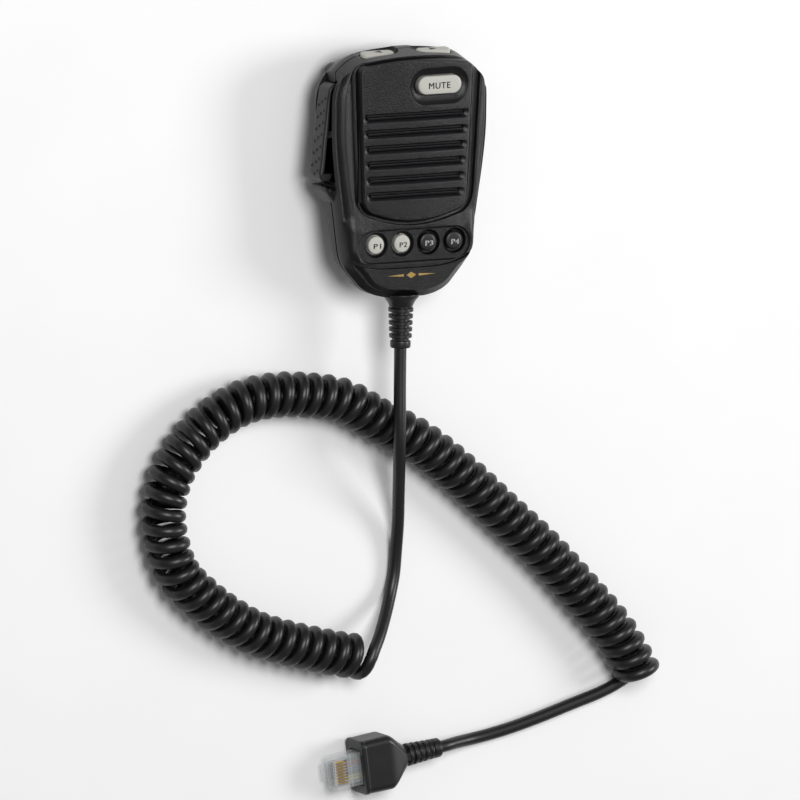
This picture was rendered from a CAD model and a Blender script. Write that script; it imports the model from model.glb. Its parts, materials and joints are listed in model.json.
import json
import math
import bpy
import bmesh
from mathutils import Matrix, Vector


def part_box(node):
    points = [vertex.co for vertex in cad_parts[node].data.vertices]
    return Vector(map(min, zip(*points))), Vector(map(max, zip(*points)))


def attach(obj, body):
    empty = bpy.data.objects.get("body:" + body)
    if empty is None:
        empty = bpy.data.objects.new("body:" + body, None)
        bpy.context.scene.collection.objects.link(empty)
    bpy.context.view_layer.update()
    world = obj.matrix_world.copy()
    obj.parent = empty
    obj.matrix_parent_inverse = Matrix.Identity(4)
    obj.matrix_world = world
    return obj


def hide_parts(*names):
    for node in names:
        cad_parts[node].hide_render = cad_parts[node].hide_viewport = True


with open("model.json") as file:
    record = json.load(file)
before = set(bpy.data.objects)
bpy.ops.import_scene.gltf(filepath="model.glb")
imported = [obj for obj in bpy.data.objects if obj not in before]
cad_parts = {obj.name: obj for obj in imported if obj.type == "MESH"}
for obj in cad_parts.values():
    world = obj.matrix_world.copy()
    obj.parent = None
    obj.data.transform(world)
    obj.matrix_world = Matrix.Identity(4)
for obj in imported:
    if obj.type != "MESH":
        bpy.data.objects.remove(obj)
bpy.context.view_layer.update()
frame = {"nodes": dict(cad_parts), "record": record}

# Pieces are drawn in millimetres in the microphone's own frame, with z = 0 on the grille panel and +Y
# towards its top.
mm = 0.001
hangerY = 8
buttonLow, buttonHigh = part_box("hanger_button")
micOrigin = (buttonLow + buttonHigh) / 2 - Vector((0, hangerY * mm, 0))
micOrigin.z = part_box("front_cover")[1].z
micPlace = Matrix.Translation(micOrigin) @ Matrix.Scale(mm, 4)
layoutPlace = Matrix.Translation((micOrigin.x, micOrigin.y, 0)) @ Matrix.Scale(mm, 4)
plug = {"x": -8.4, "y": -210.5, "z": 6.5, "turn": 8.27, "pitch": 1.02}
plugPlace = (
    layoutPlace
    @ Matrix.Translation((plug["x"], plug["y"], plug["z"]))
    @ Matrix.Rotation(math.radians(plug["turn"]), 4, "Z")
)
scene = bpy.context.scene


# The camera looks at the layout from the left front, through a lens long enough to keep lines parallel.
view = {
    "turn": 28, "rise": 9, "roll": 0.8, "target": (4.9, -82.6, 10), "width": 275.9, "lens": 1600,
    "sensor": 36,
}


def addCamera():
    turn, rise, roll = (math.radians(view[key]) for key in ("turn", "rise", "roll"))
    right = Vector((math.cos(turn), 0, math.sin(turn)))
    back = Vector((-math.sin(turn) * math.cos(rise), math.sin(rise), math.cos(turn) * math.cos(rise)))
    up = back.cross(right)
    tiltedRight = right * math.cos(roll) + up * math.sin(roll)
    tiltedUp = up * math.cos(roll) - right * math.sin(roll)
    camera = bpy.data.objects.new("camera", bpy.data.cameras.new("camera"))
    scene.collection.objects.link(camera)
    camera.data.sensor_width = view["sensor"]
    camera.data.lens = view["lens"]
    camera.data.clip_end = 50
    distance = view["width"] * mm * view["lens"] / view["sensor"]
    turned = Matrix((tiltedRight, tiltedUp, back)).transposed().to_4x4()
    stand = layoutPlace @ Vector(view["target"]) + back * distance
    camera.matrix_world = Matrix.Translation(stand) @ turned
    scene.camera = camera


def addLight(name, spot, size, power, aim=(0, -0.07, 0)):
    lamp = bpy.data.lights.new(name, "AREA")
    lamp.shape = "DISK"
    lamp.size = size
    lamp.energy = power
    light = bpy.data.objects.new(name, lamp)
    scene.collection.objects.link(light)
    light.location = spot
    light.rotation_euler = (Vector(spot) - Vector(aim)).to_track_quat("Z", "Y").to_euler()


addCamera()
scene.view_settings.view_transform = "Standard"
scene.world = bpy.data.worlds.new("studio")
scene.world.use_nodes = True
scene.world.node_tree.nodes["Background"].inputs["Color"].default_value = (1, 1, 1, 1)
scene.world.node_tree.nodes["Background"].inputs["Strength"].default_value = 0.24
addLight("topLight", (-0.16, 0.3, 1.2), 0.6, 10)
addLight("rightLight", (1.2, 0.1, 0.85), 0.6, 10)


# Materials: every finish has a fine grain in its colour and a broad one in its gloss.
def grainGroup():
    group = bpy.data.node_groups.new("surfaceGrain", "ShaderNodeTree")
    group.interface.new_socket("Scale", in_out="INPUT", socket_type="NodeSocketFloat")
    group.interface.new_socket("Fine", in_out="OUTPUT", socket_type="NodeSocketFloat")
    group.interface.new_socket("Broad", in_out="OUTPUT", socket_type="NodeSocketFloat")
    nodes = group.nodes
    links = group.links
    source = nodes.new("NodeGroupInput")
    result = nodes.new("NodeGroupOutput")
    onPiece = nodes.new("ShaderNodeTexCoord")
    fine = nodes.new("ShaderNodeTexNoise")
    fine.inputs["Detail"].default_value = 3
    broad = nodes.new("ShaderNodeTexNoise")
    broad.inputs["Scale"].default_value = 90
    broad.inputs["Detail"].default_value = 2
    links.new(source.outputs["Scale"], fine.inputs["Scale"])
    for noise, socket in ((fine, "Fine"), (broad, "Broad")):
        links.new(onPiece.outputs["Object"], noise.inputs["Vector"])
        links.new(noise.outputs["Fac"], result.inputs[socket])
    return group


surfaceGrain = grainGroup()


def makeMaterial(name, color, roughness, metallic=0, scale=2600, bump=0.0, spread=0.25, shine=0.5, alpha=1):
    material = bpy.data.materials.new(name)
    material.use_nodes = True
    nodes = material.node_tree.nodes
    links = material.node_tree.links
    shader = nodes["Principled BSDF"]
    shader.inputs["Metallic"].default_value = metallic
    shader.inputs["Specular IOR Level"].default_value = shine
    shader.inputs["Alpha"].default_value = alpha
    grain = nodes.new("ShaderNodeGroup")
    grain.node_tree = surfaceGrain
    grain.inputs["Scale"].default_value = scale
    tint = nodes.new("ShaderNodeValToRGB")
    tint.color_ramp.elements[0].position = 0.3
    tint.color_ramp.elements[0].color = (*(part * (1 - spread) for part in color), 1)
    tint.color_ramp.elements[1].position = 0.7
    tint.color_ramp.elements[1].color = (*(min(1, part * (1 + spread)) for part in color), 1)
    sheen = nodes.new("ShaderNodeMapRange")
    sheen.inputs["To Min"].default_value = roughness * 0.85
    sheen.inputs["To Max"].default_value = min(1, roughness * 1.15)
    links.new(grain.outputs["Fine"], tint.inputs["Fac"])
    links.new(tint.outputs["Color"], shader.inputs["Base Color"])
    links.new(grain.outputs["Broad"], sheen.inputs["Value"])
    links.new(sheen.outputs["Result"], shader.inputs["Roughness"])
    if bump:
        relief = nodes.new("ShaderNodeBump")
        relief.inputs["Strength"].default_value = bump
        relief.inputs["Distance"].default_value = 0.0002
        links.new(grain.outputs["Fine"], relief.inputs["Height"])
        links.new(relief.outputs["Normal"], shader.inputs["Normal"])
    return material


caseBlack = makeMaterial("caseBlack", (0.004, 0.004, 0.005), 0.33, bump=0.6, spread=0.6, shine=0.38)
satinBlack = makeMaterial("satinBlack", (0.006, 0.006, 0.007), 0.4, bump=0.12)
keyGrey = makeMaterial("keyGrey", (0.46, 0.455, 0.415), 0.5, scale=3500, bump=0.08, spread=0.08)
cordBlack = makeMaterial("cordBlack", (0.006, 0.006, 0.007), 0.38, scale=1800, bump=0.06)
legendDark = makeMaterial("legendDark", (0.03, 0.03, 0.035), 0.6)
legendLight = makeMaterial("legendLight", (0.75, 0.75, 0.73), 0.6, spread=0.05)
goldInk = makeMaterial("goldInk", (0.55, 0.38, 0.12), 0.35, metallic=0.8)
steel = makeMaterial("steel", (0.55, 0.56, 0.58), 0.28, metallic=1, bump=0.05)
gold = makeMaterial("gold", (0.85, 0.55, 0.16), 0.25, metallic=1, spread=0.1)
clearPlastic = makeMaterial("clearPlastic", (0.8, 0.83, 0.85), 0.1, spread=0.03, alpha=0.2)
boardGreen = makeMaterial("boardGreen", (0.015, 0.1, 0.045), 0.45, scale=900, bump=0.05)
nylonWhite = makeMaterial("nylonWhite", (0.75, 0.72, 0.64), 0.5, spread=0.06)
softRubber = makeMaterial("softRubber", (0.02, 0.02, 0.021), 0.75, bump=0.1)
switchBlack = makeMaterial("switchBlack", (0.016, 0.016, 0.017), 0.5)
clothBlack = makeMaterial("clothBlack", (0.006, 0.006, 0.006), 0.95, scale=1500, bump=0.6)

slotLooks = {
    "black_case": caseBlack, "satin_black": satinBlack, "grey_key": keyGrey, "cord_black": cordBlack,
    "soft_rubber": softRubber, "steel": steel, "gold_contact": gold, "board_green": boardGreen,
    "switch_black": switchBlack, "nylon": nylonWhite, "cloth": clothBlack, "clear_plastic": clearPlastic,
}
for part in frame["record"]["subparts"]:
    mesh = frame["nodes"][part["node"]].data
    mesh.materials.clear()
    mesh.materials.append(slotLooks[part["material_slot"]])
print("materials ready")


# The cord runs from the relief through its curls to the plug, with its centre line in millimetres.
cord = {
    "radius": 2.15, "coilRadius": 5.95, "coilHeight": 8.1, "turns": 64, "stepsPerTurn": 20, "length": 2.63,
}
leadRoute = [
    (0, -61.4, 18.9), (0, -70, 18.9), (0, -78, 19), (0.2, -91.5, 19.1), (0.6, -97.9, 18.3), (1.5, -103, 16.5),
    (4.6, -114.7, 10.5), (7.3, -126.4, 5.2), (8, -136.3, 2.7), (7.6, -144.7, 2.2), (5.8, -151.1, 3.2),
    (2.9, -156.6, 6), (-0.7, -161.9, 9.6), (-3.2, -165.4, 11.8), (-5.8, -169.1, 13.5), (-7.2, -172, 14.05),
]
coilAxis = [
    (-7.4, -172), (-16.9, -170.2), (-27.9, -167.5), (-39.6, -164.3), (-50.2, -160.5), (-60.5, -154.6),
    (-69.9, -147.8), (-79.5, -138.4), (-84.1, -127.3), (-85.7, -116.2), (-82.7, -103.3), (-73.9, -91.3),
    (-65.1, -84.5), (-55, -79.9), (-43.3, -78.2), (-31.2, -78.9), (-16.4, -81.9), (-2.2, -89.8),
    (12.8, -97.7), (30.5, -111), (46.3, -124.9), (62.2, -138.8), (76.8, -153.7), (91.1, -169.2),
    (98.9, -180.9), (101.6, -185.6),
]
tailRoute = [
    (101.6, -185.6, 2.3), (95.5, -188.9, 2.3), (88.8, -191.6, 2.3), (77.1, -195.1, 2.3), (65.5, -198.6, 2.3),
    (53.8, -201.7, 2.3), (44, -203.7, 2.3), (37, -204.6, 3), (31, -205, 4.9), (27.2, -205.4, 6.2),
    (24.4, -205.8, 6.5), (22.5, -206, 6.5),
]


# Centripetal curve through the points of a route.
def smoothRoute(route, steps):
    points = [Vector(point) for point in route]
    points = [2 * points[0] - points[1], *points, 2 * points[-1] - points[-2]]
    result = []
    for before, start, end, after in zip(points, points[1:], points[2:], points[3:]):
        spans = [math.sqrt((b - a).length) for a, b in ((before, start), (start, end), (end, after))]
        straight = (end - start) / spans[1]
        leave = (start - before) / spans[0] - (end - before) / (spans[0] + spans[1]) + straight
        arrive = straight - (after - start) / (spans[1] + spans[2]) + (after - end) / spans[2]
        leave *= spans[1]
        arrive *= spans[1]
        for i in range(steps):
            t = i / steps
            result.append(
                start * (2 * t**3 - 3 * t**2 + 1) + leave * (t**3 - 2 * t**2 + t)
                + end * (3 * t**2 - 2 * t**3) + arrive * (t**3 - t**2)
            )
    return [*result, points[-2]]


# Points a fixed distance apart along a polyline.
def evenSteps(points, count):
    lengths = [0]
    for a, b in zip(points, points[1:]):
        lengths.append(lengths[-1] + (b - a).length)
    result = []
    span = 0
    for i in range(count + 1):
        along = lengths[-1] * i / count
        while span < len(points) - 2 and lengths[span + 1] < along:
            span += 1
        share = (along - lengths[span]) / (lengths[span + 1] - lengths[span])
        result.append(points[span].lerp(points[span + 1], min(1, share)))
    return result


def helixPoints():
    centre = smoothRoute([(x, y, cord["coilHeight"]) for x, y in coilAxis], 40)
    total = cord["turns"] + 0.5
    count = int(total * cord["stepsPerTurn"])
    centre = evenSteps(centre, count)
    up = Vector((0, 0, 1))
    points = []
    for i, middle in enumerate(centre):
        along = (centre[min(i + 1, count)] - centre[max(i - 1, 0)]).normalized()
        angle = 2 * math.pi * total * i / count
        offset = math.cos(angle) * up + math.sin(angle) * up.cross(along)
        points.append(middle + cord["coilRadius"] * offset)
    return points


def addCord():
    wirePath = smoothRoute(leadRoute, 4)[:-1] + helixPoints() + smoothRoute(tailRoute, 5)[1:]
    curve = bpy.data.curves.new("curly_cord", "CURVE")
    curve.dimensions = "3D"
    curve.bevel_depth = cord["radius"] * mm
    curve.bevel_resolution = 4
    curve.use_fill_caps = True
    spline = curve.splines.new("POLY")
    spline.points.add(len(wirePath) - 1)
    for point, spot in zip(spline.points, wirePath):
        point.co = (*(layoutPlace @ spot), 1)
    spline.use_smooth = True
    curve.materials.append(cordBlack)
    piece = bpy.data.objects.new("curly_cord", curve)
    scene.collection.objects.link(piece)
    length = sum((b - a).length for a, b in zip(wirePath, wirePath[1:]))
    print("cord of", round(length), "mm")
    return piece


curlyCord = addCord()
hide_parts("cord_lead", "cord_coil", "cord_tail")
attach(curlyCord, "case")


# Helpers that make loops of points and join them into shapes.
def level(points, z):
    return [(x, y, z) for x, y in points]


# An outline of straight moves (end,) and curved moves (control, end).
def curvedOutline(start, moves, steps=8):
    points = [Vector(start)]
    for move in moves:
        begin = points[-1]
        end = Vector(move[-1])
        if len(move) == 1:
            points.append(end)
            continue
        control = Vector(move[0])
        for i in range(1, steps + 1):
            t = i / steps
            points.append(begin * (1 - t) ** 2 + control * (2 * t * (1 - t)) + end * t**2)
    return points


def evenLoop(points, count):
    return evenSteps([*points, points[0]], count)[:-1]


def grown(points, amounts):
    result = []
    for i, point in enumerate(points):
        before = (point - points[i - 1]).normalized()
        after = (points[(i + 1) % len(points)] - point).normalized()
        outward = Vector((before.y + after.y, -before.x - after.x)).normalized()
        amount = amounts[i] if isinstance(amounts, list) else amounts
        result.append(point + outward * amount)
    return result


def pillLoop(length, width, grow=0, centre=(0, 0), steps=16):
    straight = (length - width) / 2
    radius = width / 2 + grow
    points = []
    for side in (1, -1):
        for i in range(steps + 1):
            angle = math.pi * i / steps - math.pi / 2
            points.append(Vector((
                centre[0] + side * (straight + radius * math.cos(angle)),
                centre[1] + side * radius * math.sin(angle),
            )))
    return points


def circleLoop(radius, centre=(0, 0), steps=40):
    angles = (2 * math.pi * i / steps for i in range(steps))
    return [Vector((centre[0] + radius * math.cos(a), centre[1] + radius * math.sin(a))) for a in angles]


def boxLoop(halfWidth, halfHeight, radius, steps=5):
    points = []
    for corner in range(4):
        middle = (
            (halfWidth - radius) * (1 if corner in (0, 3) else -1),
            (halfHeight - radius) * (1 if corner in (0, 1) else -1),
        )
        for i in range(steps + 1):
            angle = math.pi / 2 * (corner + i / steps)
            points.append(Vector(middle) + radius * Vector((math.cos(angle), math.sin(angle))))
    return points


# Joins a run of loops with faces and returns the edges of the first and last loop.
def addWall(shape, loops):
    rings = []
    for loop in loops:
        corners = [shape.verts.new(point) for point in loop]
        rings.append([shape.edges.new((corners[i - 1], corners[i])) for i in range(len(corners))])
    for one, other in zip(rings, rings[1:]):
        bmesh.ops.bridge_loops(shape, edges=one + other)
    return rings[0], rings[-1]


def fill(shape, *rings):
    bmesh.ops.triangle_fill(shape, use_beauty=True, edges=[edge for ring in rings for edge in ring])


# A closed body made of loops, filled at both ends.
def addBody(shape, loops):
    first, last = addWall(shape, loops)
    fill(shape, first)
    fill(shape, last)


def addSpun(shape, profile, turn=Matrix.Identity(4), steps=48):
    corners = [shape.verts.new((radius, 0, along)) for radius, along in profile]
    edges = [shape.edges.new(pair) for pair in zip(corners, corners[1:])]
    before = set(shape.verts) - set(corners)
    bmesh.ops.spin(
        shape, geom=corners + edges, cent=(0, 0, 0), axis=(0, 0, 1), angle=2 * math.pi, steps=steps,
        use_merge=True,
    )
    made = [vert for vert in shape.verts if vert not in before]
    bmesh.ops.remove_doubles(shape, verts=made, dist=1e-4)
    made = [vert for vert in shape.verts if vert not in before]
    bmesh.ops.transform(shape, matrix=turn, verts=made)


def addBox(shape, low, high, turn=Matrix.Identity(4)):
    low, high = Vector(low), Vector(high)
    middle = Matrix.Translation((low + high) / 2)
    bmesh.ops.create_cube(shape, size=1, matrix=turn @ middle @ Matrix.Diagonal((*(high - low), 1)))


def toObject(name, shape, material, origin=micPlace):
    bmesh.ops.recalc_face_normals(shape, faces=shape.faces)
    bmesh.ops.transform(shape, matrix=origin, verts=shape.verts)
    mesh = bpy.data.meshes.new(name)
    shape.to_mesh(mesh)
    shape.free()
    mesh.materials.append(material)
    piece = bpy.data.objects.new(name, mesh)
    scene.collection.objects.link(piece)
    return piece


def smoothPiece(piece, sharp=38, even=True):
    mesh = piece.data
    mesh.polygons.foreach_set("use_smooth", [True] * len(mesh.polygons))
    mesh.set_sharp_from_angle(angle=math.radians(sharp))
    if even:
        weighted = piece.modifiers.new("evenShading", "WEIGHTED_NORMAL")
        weighted.keep_sharp = True


def place(piece, body, slot, *replaced):
    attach(piece, body)
    if replaced:
        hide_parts(*replaced)
    return piece


# Cuts closed shapes out of a piece and keeps the result as its mesh.
def cutOut(piece, *cutters):
    for cutter in cutters:
        change = piece.modifiers.new("cut", "BOOLEAN")
        change.operation = "DIFFERENCE"
        change.solver = "EXACT"
        change.object = cutter
    scene.view_layers[0].update()
    ready = piece.evaluated_get(bpy.context.evaluated_depsgraph_get())
    mesh = bpy.data.meshes.new_from_object(ready)
    piece.modifiers.clear()
    piece.data = mesh
    for cutter in cutters:
        bpy.data.objects.remove(cutter)


# Outlines of the case and the grille panel.
case = {"faceZ": -1.6, "innerZ": -4.2, "partingZ": -9.5, "backZ": -22}
ridge = {"z": -12, "front": 0.22, "back": -0.3, "crown": 0.9}
rightHalf = curvedOutline((0, -44.4), [
    ((7, -44.4),), ((13.6, -43.6), (17, -40.2)), ((21.8, -34.6),), ((24.4, -31.4), (24.9, -27)),
    ((27.6, -8),), ((30.1, 8), (30.1, 16)), ((30.1, 24),), ((30.1, 30.8), (26.4, 34.8)),
    ((22, 39.8), (16, 40.8)), ((8, 42.1), (0, 42.1)),
])
leftHalf = [Vector((-point.x, point.y)) for point in reversed(rightHalf[1:-1])]
caseLoop = evenLoop(rightHalf + leftHalf, 264)
panel = {"left": -20.6, "right": 22.6, "top": 38.4, "bottom": -17.1, "topCrown": 1.5, "lowCrown": 2.8}


# The panel is a little narrower at its lower end.
def panelLoop(grow):
    left = panel["left"] - grow * 0.75
    right = panel["right"] + grow * 1.35
    top = panel["top"] + grow * 0.5
    bottom = panel["bottom"] - grow * 0.65
    upper = top - panel["topCrown"]
    lower = bottom + panel["lowCrown"]
    topCorner = 2.8 + grow
    lowCorner = 4.4 + grow
    points = evenLoop(curvedOutline((left + lowCorner, lower), [
        ((0, bottom - panel["lowCrown"]), (right - lowCorner, lower)),
        ((right, lower + 1), (right, lower + lowCorner + 1)),
        ((right, upper - topCorner),),
        ((right, upper), (right - topCorner, upper)),
        ((0, top + panel["topCrown"]), (left + topCorner, upper)),
        ((left, upper), (left, upper - topCorner)),
        ((left, lower + lowCorner + 1),),
        ((left, lower + 1), (left + lowCorner, lower)),
    ], 12)[:-1], 200)
    return [Vector((1 + (point.x - 1) * (0.91 + 0.002 * (point.y + 12)), point.y)) for point in points]


# Front cover, with its rings given as how far they lie outside an outline and how high.
moat = [
    (3.3, -1.6), (3.1, -1.66), (2.95, -1.9), (2.9, -2.4), (2.7, -2.7), (1.7, -2.75), (1.4, -2.65),
    (1.15, -2.2), (0.55, -1), (0.25, -0.4), (0, -0.1), (-0.35, 0),
]
slot = {"rows": 6, "x": 0.95, "top": 18.9, "pitch": 5.44, "halfLength": 20.7, "shrink": 0.33, "height": 3.5}
# How far in each ring of a slot lies, from its rim down the sloping lip to the slit.
slotLip = [(0, 0), (-0.12, -0.04), (-0.3, -0.16), (-0.75, -0.75), (-0.85, -1), (-0.85, -4.2)]
mute = {"x": 9.5, "y": 29.5, "length": 16.8, "width": 6.4, "topZ": 0.3, "gap": 0.35}
muteDish = [
    (3.05, 0), (2.9, -0.05), (2.65, -0.25), (2, -0.85), (1.2, -1.2), (0.4, -1.4), (0.1, -1.5), (0, -1.75),
    (0, -4.2),
]
memo = {"count": 4, "x": 2, "pitch": 10.1, "y": -25.4, "radius": 3.1, "topZ": -2.3}
memoX = [memo["x"] + (i - 1.5) * memo["pitch"] for i in range(memo["count"])]
memoRecess = [(0.35, -1.6), (0.15, -1.66), (0, -1.82), (-0.35, -2.3)]
memoWell = [(4.5, -2.3), (4.4, -2.38), (4.25, -2.9), (4.1, -3.5), (3.85, -3.75), (3.45, -3.85), (3.45, -4.2)]


def recessLoop(grow):
    return pillLoop(43.6, 11.4, grow, (1.2, -26.1), 24)


frontEdge = {"width": 3.6, "wider": 1.2, "drop": 3.6, "deeper": 3, "least": 0.6, "gap": 0.5}


# The left flank falls away more broadly than the right one.
def leftShare(point):
    return min(1, max(0, -point.x / 20))


# The rounded front edge is narrower where the moat or the key recess comes close.
def frontEdgeWidths():
    near = panelLoop(moat[0][0]) + evenLoop(recessLoop(memoRecess[0][0]), 90)
    room = [min((point - other).length for other in near) - frontEdge["gap"] for point in caseLoop]
    wanted = [frontEdge["width"] + frontEdge["wider"] * leftShare(point) for point in caseLoop]
    widths = [min(pair) for pair in zip(wanted, room)]
    for _ in range(8):
        smoothed = [
            (widths[i - 1] + 2 * widths[i] + widths[(i + 1) % len(widths)]) / 4 for i in range(len(widths))
        ]
        widths = [max(frontEdge["least"], min(pair)) for pair in zip(smoothed, room)]
    return widths


def frontCover():
    shape = bmesh.new()
    widths = frontEdgeWidths()
    loops = []
    for i in range(8):
        angle = math.pi / 2 * i / 7
        inset = 1 - math.sin(angle)
        points = grown(caseLoop, [-width * inset for width in widths])
        ring = []
        for point in points:
            drop = frontEdge["drop"] + frontEdge["deeper"] * leftShare(point)
            flat = min(1, max(0, (-28 - point.y) / 6))
            fall = (1 - math.cos(angle)) * (1 - flat) + math.sin(angle) * flat
            ring.append((point.x, point.y, case["faceZ"] - drop * fall))
        loops.append(ring)
    loops += [
        level(caseLoop, -9.1), level(grown(caseLoop, -0.25), -9.35), level(grown(caseLoop, -2), -9.35),
        level(grown(caseLoop, -2), case["innerZ"]),
    ]
    outer, inner = addWall(shape, loops)
    # On the left the outer side of the moat starts lower, so that the shoulder falls towards it.
    rings = []
    for grow, z in moat:
        fall = max(0, min(0.8, 2.7 + z)) if grow > 2.8 else 0
        rings.append([(x, y, z - fall * min(1, max(0, (-14 - x) / 8))) for x, y in panelLoop(grow)])
    moatRim, panelRim = addWall(shape, rings)
    recessRim, recessFloor = addWall(shape, [level(recessLoop(grow), z) for grow, z in memoRecess])
    fill(shape, outer, moatRim, recessRim)
    topHoles = []
    backHoles = [inner]
    for row in range(slot["rows"]):
        length = 2 * (slot["halfLength"] - slot["shrink"] * row)
        loops = []
        for inset, z in slotLip:
            # The slit lies above the middle of its lip, and the lip is broader at the ends.
            share = min(1, -inset / 0.75)
            centre = (slot["x"], slot["top"] - slot["pitch"] * row + 0.35 * share)
            loops.append(level(pillLoop(length + 2.2 * inset * share, slot["height"], inset, centre, 10), z))
        rim, back = addWall(shape, loops)
        topHoles.append(rim)
        backHoles.append(back)
    loops = []
    for grow, z in muteDish:
        centre = (mute["x"], mute["y"] - grow * 0.15)
        loops.append(level(pillLoop(mute["length"], mute["width"], mute["gap"] + grow, centre), z))
    rim, back = addWall(shape, loops)
    fill(shape, panelRim, rim, *topHoles)
    backHoles.append(back)
    wellRims = []
    for x in memoX:
        rim, back = addWall(shape, [level(circleLoop(radius, (x, memo["y"])), z) for radius, z in memoWell])
        wellRims.append(rim)
        backHoles.append(back)
    fill(shape, recessFloor, *wellRims)
    fill(shape, *backHoles)
    # The panel and the rim around it are slightly crowned from side to side.
    for x in (-18, -12, -6, 0, 6, 12, 18):
        parts = list(shape.verts) + list(shape.edges) + list(shape.faces)
        bmesh.ops.bisect_plane(shape, geom=parts, plane_co=(x, 0, 0), plane_no=(1, 0, 0))
    for vert in shape.verts:
        if vert.co.z > -4:
            share = min(1, max(0, (vert.co.y + 19.5) / 4))
            vert.co.z -= share * ridge["crown"] * (min(24, abs(vert.co.x)) / 21.6) ** 2
    return toObject("front_cover_shell", shape, caseBlack)


# Shapes cut out of both covers.
topKey = {"x": {-1: -10.4, 1: 11.4}, "z": -9, "length": 12.8, "height": 3.9}
reliefTurn = Matrix.Translation((0, 0, -8.6)) @ Matrix.Rotation(math.radians(90), 4, "X")


# A pill seen from the top end, whose far side lies lower with the slope of that end.
def topPill(length, height, grow, x, y, slope, z=topKey["z"]):
    return [(px, y - slope * (pz - z), pz) for px, pz in pillLoop(length, height, grow, (x, z))]


def topKeyCutters(side):
    well = bmesh.new()
    x = topKey["x"][side]
    addBody(well, [
        topPill(17, 7.4, grow, side * 12, y, ridge["front"], -9.6)
        for grow, y in ((1, 46), (1, 41.2), (0.6, 40.4), (0.1, 39.9), (-0.5, 39.7))
    ])
    hole = bmesh.new()
    addBody(hole, [topPill(topKey["length"], topKey["height"], 0.35, x, y, 0) for y in (45, 36)])
    return [toObject("cutter", well, caseBlack), toObject("cutter", hole, caseBlack)]


# Everything beyond the slope that the top end has towards the face.
def slopeCutter():
    low, high = ridge["z"], 5
    big = [Vector((point.x * 1.5, point.y * 1.5)) for point in caseLoop]
    ring = grown(caseLoop, [0.4 * min(1, max(0, (33 - point.y) / 8)) for point in caseLoop])
    fall = ridge["front"] * (high - low)
    lowered = [Vector((point.x, point.y - fall * min(1, max(0, point.y / 20)))) for point in ring]
    shape = bmesh.new()
    addWall(shape, [
        level(big, low), level(big, high), level(lowered, high), level(ring, low), level(big, low),
    ])
    bmesh.ops.remove_doubles(shape, verts=shape.verts, dist=1e-4)
    return toObject("cutter", shape, caseBlack)


def pocketCutter():
    shape = bmesh.new()
    low, high, front, back = -4.3, 34.4, -5.4, -16.3
    middle = ((low + high) / 2, (front + back) / 2)
    outline = boxLoop((high - low) / 2, (front - back) / 2, 1.4)
    addBody(shape, [
        [(x, middle[0] + point.x * (1 + flare), middle[1] + point.y * (1 + 2 * flare)) for point in outline]
        for x, flare in ((-40, 0.012), (-30, 0.012), (-28.4, 0), (-26.2, 0))
    ])
    return toObject("cutter", shape, caseBlack)


def reliefCutter():
    shape = bmesh.new()
    addSpun(shape, [(0, 40), (3.6, 40), (3.6, 46.5), (0, 46.5)], reliefTurn)
    return toObject("cutter", shape, caseBlack)


# The step and groove between the key recess and the chin.
def chinCutter():
    shape = bmesh.new()
    profile = [(-32.8, 2), (-32.8, -3.4), (-33.9, -3.4), (-34.15, -2.5), (-50, -2.5), (-50, 2)]
    loops = []
    for i in range(25):
        x = -36 + 3 * i
        bow = 2.4 * (min(24, abs(x)) / 21) ** 4
        loops.append([(x, y + (bow if y > -40 else 0), z) for y, z in profile])
    addBody(shape, loops)
    return toObject("cutter", shape, caseBlack)


frontShell = frontCover()
cutOut(
    frontShell, chinCutter(), pocketCutter(), reliefCutter(), *topKeyCutters(-1), *topKeyCutters(1),
    slopeCutter(),
)
smoothPiece(frontShell)
place(frontShell, "case", "black_case", "front_cover")
print("front cover ready")


slatProfile = [(-0.6, -3.9), (-0.6, -1), (-0.45, -0.8), (0.05, -0.6), (0.25, -0.62), (0.4, -0.8), (0.4, -3.9)]


def grilleSlats():
    shape = bmesh.new()
    for row in range(slot["rows"]):
        half = slot["halfLength"] - slot["shrink"] * row - 1.6
        y = slot["top"] - slot["pitch"] * row + 0.1
        ends = (slot["x"] - half, slot["x"] + half - 0.9)
        addBody(shape, [[(x, y + dy, z) for dy, z in slatProfile] for x in ends])
    return toObject("grille_slats", shape, caseBlack)


slats = grilleSlats()
smoothPiece(slats, sharp=50)
place(slats, "case", "black_case")


# Rear cover.
screwSeats = [(-21, 33, -18.5), (21, 33, -18.5), (-13.5, -35.5, -13.2), (13.5, -35.5, -13.2)]


# Depth of the back behind the grille panel: full behind the grille, shallow at the chin.
def backDepth(y):
    share = min(1, max(0, (6 - y) / 26))
    eased = share * share * (3 - 2 * share)
    return 22 - 6.3 * eased - 0.7 * min(1, max(0, (-20 - y) / 24))


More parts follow.
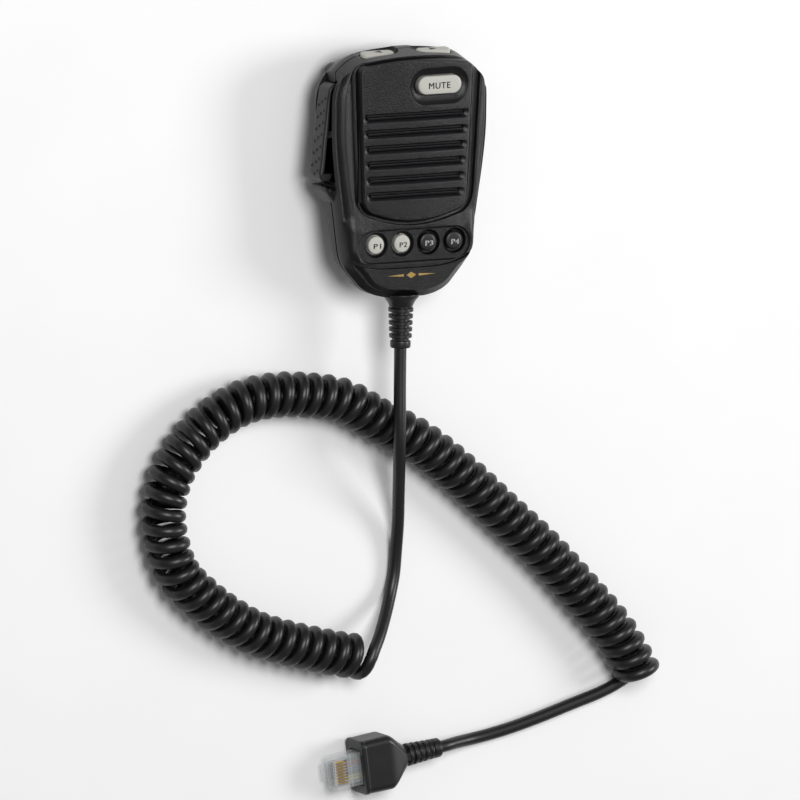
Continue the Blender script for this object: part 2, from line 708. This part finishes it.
def rearCover():
    shape = bmesh.new()
    outer = []
    inner = []
    for i in range(9):
        angle = math.pi / 2 * i / 8
        outer.append(level(grown(caseLoop, -6 * (1 - math.cos(angle))), -16 - 6 * math.sin(angle)))
        inner.append(level(grown(caseLoop, -2 - 4 * (1 - math.cos(angle))), -16 - 4 * math.sin(angle)))
    rim = [level(grown(caseLoop, -2), -9.65), level(caseLoop, -9.85), level(caseLoop, ridge["z"])]
    addBody(shape, inner[::-1] + rim + outer)
    for y in (8, 5, 2, -2, -6, -10, -14, -18, -22, -30):
        parts = list(shape.verts) + list(shape.edges) + list(shape.faces)
        bmesh.ops.bisect_plane(shape, geom=parts, plane_co=(0, y, 0), plane_no=(0, 1, 0))
    parting = case["partingZ"]
    for vert in shape.verts:
        share = (backDepth(vert.co.y) + parting) / (-case["backZ"] + parting)
        fall = ridge["front" if vert.co.z > ridge["z"] else "back"] * (vert.co.z - ridge["z"])
        vert.co.y -= fall * min(1, max(0, vert.co.y / 20))
        if vert.co.z < -9.86:
            vert.co.z = -9.85 + (vert.co.z + 9.85) * share
    return toObject("rear_cover_shell", shape, caseBlack)


def screwCutter(x, y, seat):
    shape = bmesh.new()
    addSpun(shape, [(0, -30), (2.8, -30), (2.8, seat), (0, seat)], Matrix.Translation((x, y, 0)))
    return toObject("cutter", shape, caseBlack)


rearShell = rearCover()
cutOut(
    rearShell, pocketCutter(), reliefCutter(), *topKeyCutters(-1), *topKeyCutters(1),
    *(screwCutter(*seat) for seat in screwSeats),
)
smoothPiece(rearShell)
place(rearShell, "case", "black_case", "rear_cover")


def screwCups():
    shape = bmesh.new()
    for x, y, seat in screwSeats:
        rim = -backDepth(y) + 0.5
        addSpun(shape, [
            (1.6, seat), (2.8, seat), (2.8, rim), (3.2, rim), (3.2, seat + 0.8), (1.6, seat + 0.8),
            (1.6, seat),
        ], Matrix.Translation((x, y, 0)))
    return toObject("screw_cups", shape, caseBlack)


cups = screwCups()
smoothPiece(cups)
place(cups, "case", "black_case")

guardLoop = evenLoop([Vector(point) for point in (
    (-25, -4.6), (-25, -11.5), (-26.6, -11.5), (-30.4, -6.6), (-30.8, -5.4), (-30.6, -4.9),
)][::-1], 80)


def guardRidge(name, run):
    shape = bmesh.new()
    addBody(shape, [level(grown(guardLoop, grow), z) for grow, z in run])
    piece = toObject(name, shape, caseBlack)
    smoothPiece(piece)
    return place(piece, "case", "black_case")


guardRidge("guard_front", [(-1.5, -6.2), (-0.9, -6.7), (-0.25, -7.5), (0, -8.2), (0, -9.35)])
guardRidge("guard_rear", [(0, -9.65), (0, -17.2), (-0.3, -18), (-1, -18.4)])
print("rear cover ready")


# A plate behind the talk bar, with a hole for the plunger, closes the pocket.
def pocketPlate():
    shape = bmesh.new()
    addBox(shape, (-24.4, -5, -16.8), (-23.9, 34.5, -5))
    hole = bmesh.new()
    turn = Matrix.Translation((-26, 12.5, -13)) @ Matrix.Rotation(math.radians(90), 4, "Y")
    addSpun(hole, [(0, 0), (1.6, 0), (1.6, 4), (0, 4)], turn, 24)
    piece = toObject("pocket_plate", shape, caseBlack)
    cutOut(piece, toObject("cutter", hole, caseBlack))
    return piece


place(pocketPlate(), "case", "black_case")

# Talk bar.
barFace = [(28.6, -29.4), (24.5, -30), (17.7, -30.7), (10.2, -31.5), (3, -32.2), (-0.4, -32.7)]
barLoop = evenLoop([Vector(point) for point in (
    (-29, 29.4), (-29.4, 28.6), (-30, 24.5), (-30.7, 17.7), (-31.5, 10.2), (-32.2, 3), (-32.7, -0.4),
    (-32.2, -2.1), (-31.4, -3.3), (-28.6, -3.5), (-27.3, -1.5), (-27.2, 22.6), (-25.1, 24.9), (-25.1, 29.2),
    (-26.6, 30.9), (-27.8, 30.6),
)], 170)


def barFaceX(y):
    for (yHigh, xHigh), (yLow, xLow) in zip(barFace, barFace[1:]):
        if y >= yLow:
            return xLow + (xHigh - xLow) * (y - yLow) / (yHigh - yLow)
    return barFace[-1][1]


def talkBar():
    shape = bmesh.new()
    addBody(shape, [level(grown(barLoop, grow), z) for grow, z in (
        (-0.9, -8), (-0.45, -8.1), (-0.15, -8.4), (0, -8.9), (0, -15.2), (-0.12, -15.65), (-0.4, -15.92),
        (-0.8, -16),
    )])
    return toObject("talk_bar", shape, satinBlack)


# Small round grips in three staggered columns.
def barGrips():
    shape = bmesh.new()
    for column, z in enumerate((-9.9, -12.1, -14.3)):
        for row in range(7):
            y = 25.6 - 4.15 * row - 1.38 * column
            if y < -1:
                continue
            spot = Matrix.Translation((barFaceX(y) + 0.15, y, z))
            bmesh.ops.create_uvsphere(shape, u_segments=12, v_segments=8, radius=0.6, matrix=spot)
    return toObject("bar_grips", shape, satinBlack)


# Leaves the front part of the bar as a thin outer plate.
def barHollow():
    shape = bmesh.new()
    outline = [(x + 1.5, y) for y, x in barFace[1:]] + [(-26, -0.4), (-26, 24.5)]
    addBody(shape, [level(outline, z) for z in (-7, -14.4)])
    return toObject("cutter", shape, satinBlack)


bar = talkBar()
cutOut(bar, barHollow())
smoothPiece(bar, sharp=45)
place(bar, "ptt_bar", "satin_black", "ptt_lever")
grips = barGrips()
smoothPiece(grips)
place(grips, "ptt_bar", "satin_black")


# Keys.
def addKey(name, loops, material, body, slotName, node):
    shape = bmesh.new()
    addBody(shape, loops)
    piece = toObject(name, shape, material)
    smoothPiece(piece)
    return place(piece, body, slotName, node)


# Letters as a thin solid, scaled to a width and height and centred on a point.
def addLegend(name, text, width, height, centre, material, body, slotName):
    curve = bpy.data.curves.new(name, "FONT")
    curve.body = text
    curve.size = 1
    curve.space_character = 1.12
    curve.extrude = 0.02
    curve.resolution_u = 4
    source = bpy.data.objects.new(name, curve)
    scene.collection.objects.link(source)
    scene.view_layers[0].update()
    mesh = bpy.data.meshes.new_from_object(source.evaluated_get(bpy.context.evaluated_depsgraph_get()))
    bpy.data.objects.remove(source)
    # A shifted copy makes the strokes bolder.
    shape = bmesh.new()
    shape.from_mesh(mesh)
    everything = list(shape.verts) + list(shape.edges) + list(shape.faces)
    copied = bmesh.ops.duplicate(shape, geom=everything)["geom"]
    moved = [part for part in copied if isinstance(part, bmesh.types.BMVert)]
    bmesh.ops.translate(shape, vec=(0.045, 0.02, 0), verts=moved)
    shape.to_mesh(mesh)
    shape.free()
    corners = [vert.co for vert in mesh.vertices]
    low = Vector(min(corner[i] for corner in corners) for i in range(3))
    high = Vector(max(corner[i] for corner in corners) for i in range(3))
    size = high - low
    shrink = Matrix.Diagonal((width / size.x, height / size.y, 1, 1))
    mesh.transform(
        micPlace @ Matrix.Translation(centre) @ shrink @ Matrix.Translation(-(low + high) / 2)
    )
    mesh.materials.clear()
    mesh.materials.append(material)
    piece = bpy.data.objects.new(name, mesh)
    scene.collection.objects.link(piece)
    return place(piece, body, slotName)


muteLoops = [
    level(pillLoop(mute["length"], mute["width"], grow, (mute["x"], mute["y"])), z)
    for grow, z in (
        (0.8, -5.2), (0.8, -4.5), (0, -4.5), (0, -0.35), (-0.06, -0.1), (-0.22, 0.08), (-0.5, 0.2),
        (-1.1, 0.27), (-2, mute["topZ"]),
    )
]
addKey("mute_cap", muteLoops, keyGrey, "mute_key", "grey_key", "mute_button")
muteTop = (mute["x"] - 0.3, mute["y"] - 0.2, mute["topZ"] + 0.01)
addLegend("mute_legend", "MUTE", 8.4, 2.2, muteTop, legendDark, "mute_key", "satin_black")
for i, x in enumerate(memoX):
    number = i + 1
    light = i < 2
    loops = [level(circleLoop(memo["radius"] + grow, (x, memo["y"])), z) for grow, z in (
        (0.8, -5.2), (0.8, -4.5), (0, -4.5), (0, -2.9), (-0.07, -2.64), (-0.25, -2.46), (-0.6, -2.36),
        (-1.2, -2.31), (-2.1, memo["topZ"]),
    )]
    addKey(
        f"p{number}_cap", loops, keyGrey if light else satinBlack, f"p{number}_key",
        "grey_key" if light else "satin_black", f"p{number}_button",
    )
    addLegend(
        f"p{number}_legend", f"P{number}", 3, 1.75, (x + 0.35, memo["y"] - 0.4, memo["topZ"] + 0.01),
        legendDark if light else legendLight, f"p{number}_key", "satin_black" if light else "grey_key",
    )

for name, side in (("up", -1), ("down", 1)):
    x = topKey["x"][side]
    loops = [
        topPill(topKey["length"], topKey["height"], grow, x, y, slope)
        for grow, y, slope in (
            (0.7, 36.6, 0), (0.7, 37.8, 0), (0, 37.8, 0), (0, 40.2, ridge["front"]),
            (-0.1, 40.5, ridge["front"]), (-0.35, 40.7, ridge["front"]), (-0.9, 40.8, ridge["front"]),
            (-1.6, 40.82, ridge["front"]),
        )
    ]
    addKey(f"{name}_cap", loops, keyGrey, f"{name}_key", "grey_key", f"{name}_button")
    arrow = bmesh.new()
    point = 1.5 * side
    z = topKey["z"]
    loops = [
        [(x - point, y + ridge["front"], z - 1), (x - point, y - ridge["front"], z + 1), (x + point, y, z)]
        for y in (40.7, 40.86)
    ]
    addBody(arrow, loops)
    place(toObject(f"{name}_arrow", arrow, legendDark), f"{name}_key", "satin_black")


# A plain gold device on the chin: two tapered bars with a lozenge between them.
def chinDevice():
    shape = bmesh.new()
    y, low, high = -36.5, -2.52, -2.44
    shapes = (
        [(-9.4, 0), (-2.9, -0.42), (-2.9, 0.42)],
        [(9.4, 0), (2.9, 0.42), (2.9, -0.42)],
        [(-1.9, 0), (0, -1.1), (1.9, 0), (0, 1.1)],
    )
    for outline in shapes:
        addBody(shape, [[(x + 0.6, y + dy, z) for x, dy in outline] for z in (low, high)])
    return toObject("chin_device", shape, goldInk)


place(chinDevice(), "case", "gold_contact")
print("keys ready")


# Hanger button.
def hangerButton():
    shape = bmesh.new()
    addSpun(shape, [
        (0, -27.5), (5.9, -27.5), (6.5, -27.35), (6.85, -27), (7, -26.5), (7, -25.9), (6.8, -25.6),
        (5.2, -25.2),
        (4.4, -24.9), (4.05, -24.4), (4, -22.3), (1.9, -22.3), (1.9, -26.1), (0, -26.1),
    ], Matrix.Translation((0, hangerY, 0)))
    return toObject("hanger_knob", shape, satinBlack)


knob = hangerButton()
smoothPiece(knob, sharp=30)
place(knob, "case", "satin_black", "hanger_button")


# Strain relief.
def strainRelief():
    shape = bmesh.new()
    addSpun(shape, [
        (0, 40.4), (4.2, 40.4), (4.2, 41.9), (3.2, 41.9), (3.2, 43.8), (6.3, 43.8), (6.35, 44.3), (6.1, 44.9),
        (5.4, 45.7), (4.7, 46.7), (4.2, 47.8), (4.1, 48.2), (3.05, 48.3), (2.95, 60), (3.45, 60.2),
        (3.6, 60.6), (3.55, 62.2), (3.3, 62.6), (2.3, 62.6), (2.25, 61), (0, 61),
    ], reliefTurn)
    for i in range(5):
        radius = 4.35 - 0.1 * i
        along = 48.7 + 2.27 * i
        addSpun(shape, [
            (2.6, along), (radius - 0.15, along), (radius, along + 0.15), (radius, along + 1.15),
            (radius - 0.15, along + 1.3), (2.6, along + 1.3), (2.6, along),
        ], reliefTurn)
    return toObject("ribbed_relief", shape, cordBlack)


relief = strainRelief()
smoothPiece(relief, sharp=40)
place(relief, "case", "cord_black", "strain_relief")


# Plug and its boot, drawn in the plug's own frame with its nose towards -X.
def section(x, halfWidth, halfHeight, radius, lift=0.0):
    return [(x, y, z + lift) for y, z in boxLoop(halfWidth, halfHeight, radius, 8)]


def plugBoot():
    shape = bmesh.new()
    # Each entry: how far back, half width, half height, corner radius and, inside, how far it is raised.
    run = [
        (11.4, 6.14, 3.55, 0.4, 0.6), (0.5, 6.14, 3.55, 0.4, 0.6), (0.05, 6.4, 3.8, 0.6, 0.6),
        (0, 8.9, 5.8, 2), (0.1, 9.3, 6.15, 2.3), (0.4, 9.6, 6.45, 2.5), (1.3, 9.65, 6.5, 2.5),
        (1.5, 9.5, 6.38, 2.5),
        (1.8, 9.45, 6.32, 2.5), (2.2, 9.5, 6.36, 2.5), (10.3, 9.6, 6.45, 2.5), (11.2, 9.5, 6.42, 2.6),
        (12.2, 9, 6.3, 2.8), (13.6, 7.9, 6, 3), (15.8, 5.9, 5.3, 3.4), (17.6, 4.55, 4.75, 4),
        (18.1, 4.2, 4.4, 4), (18.5, 3.6, 3.6, 3.5),
    ]
    for i in range(5):
        x = 19.1 + 2.1 * i
        radius = 4 - 0.12 * i
        groove = [(0, 3.2), (0.6, 3.2)]
        rib = [(0.7, radius - 0.1), (0.85, radius), (1.65, radius), (1.8, radius - 0.12)]
        run += [(x + dx, r, r, r - 0.01) for dx, r in groove + rib]
    run += [
        (29.7, 3, 3, 2.99), (29.95, 3.3, 3.3, 3.29), (30.2, 3.45, 3.45, 3.44), (32.1, 3.4, 3.4, 3.39),
        (32.5, 3.15, 3.15, 3.14), (32.5, 2.3, 2.3, 2.29), (31, 2.25, 2.25, 2.24),
    ]
    addBody(shape, [section(*entry) for entry in run])
    # Webs that tie the ribs together.
    for i in range(5):
        x = 18.4 + 2.1 * i
        wide = 3.55 - 0.12 * i
        for sign in (1, -1):
            halfY, halfZ = (0.6, 1.4) if i % 2 else (1.4, 0.6)
            y, z = (sign * (wide - 0.5), 0) if i % 2 else (0, sign * (wide - 0.5))
            addBox(shape, (x, y - halfY, z - halfZ), (x + 1.5, y + halfY, z + halfZ))
    return toObject("plug_boot_shell", shape, cordBlack, plugPlace)


boot = plugBoot()
smoothPiece(boot, sharp=40)
place(boot, "case", "cord_black", "plug_boot")


def plugBody():
    shape = bmesh.new()
    addBody(shape, [
        section(-10.3, 5.6, 3, 0.3, 0.6), section(-10.05, 5.84, 3.25, 0.3, 0.6),
        section(10.8, 5.84, 3.25, 0.3, 0.6), section(11, 5.7, 3.1, 0.3, 0.6),
    ])
    piece = toObject("plug_shell", shape, clearPlastic, plugPlace)
    well = bmesh.new()
    addBox(well, (-9.7, -4.4, 1.6), (-5.3, 4.4, 6))
    core = bmesh.new()
    addBox(core, (-4.6, -4.9, -1.1), (10.4, 4.9, 2.1))
    channel = bmesh.new()
    addBox(channel, (-9, -4.3, 0), (-4.5, 4.3, 1.3))
    step = bmesh.new()
    addBox(step, (-3.6, -7, 3.1), (-0.6, 7, 6))
    cutters = (well, core, channel, step)
    cutOut(piece, *(toObject("cutter", cutter, clearPlastic, plugPlace) for cutter in cutters))
    return piece


shell = plugBody()
smoothPiece(shell)
place(shell, "case", "clear_plastic", "plug_body")


def plugComb():
    shape = bmesh.new()
    for i in range(7):
        y = (i - 3) * plug["pitch"]
        addBox(shape, (-9.65, y - 0.2, 1.65), (-5.35, y + 0.2, 3.7))
    return toObject("plug_comb", shape, clearPlastic, plugPlace)


comb = plugComb()
smoothPiece(comb)
place(comb, "case", "clear_plastic")

wireColors = (
    (0.35, 0.3, 0.06), (0.3, 0.27, 0.08), (0.04, 0.04, 0.045), (0.1, 0.13, 0.18), (0.12, 0.15, 0.2),
    (0.2, 0.02, 0.02), (0.16, 0.03, 0.02), (0.02, 0.1, 0.05),
)
for i, color in enumerate(wireColors):
    shape = bmesh.new()
    y = (i - 3.5) * plug["pitch"]
    turn = Matrix.Translation((-8.7, y, 0.65)) @ Matrix.Rotation(math.radians(90), 4, "Y")
    addSpun(shape, [(0, 0), (0.4, 0), (0.46, 0.06), (0.46, 18.9), (0, 18.9)], turn, 16)
    wire = toObject(f"plug_wire_{i + 1}", shape, makeMaterial(f"wireJacket{i + 1}", color, 0.4), plugPlace)
    smoothPiece(wire)
    place(wire, "case", "cord_black")
print("plug ready")


floorMesh = bpy.data.meshes.new("floor")
floorShape = bmesh.new()
bmesh.ops.create_grid(floorShape, x_segments=1, y_segments=1, size=4)
floorShape.to_mesh(floorMesh)
floorShape.free()
floorMesh.materials.append(makeMaterial("floorWhite", (0.9, 0.9, 0.9), 0.6, scale=20, spread=0.01))
floor = bpy.data.objects.new("floor", floorMesh)
scene.collection.objects.link(floor)
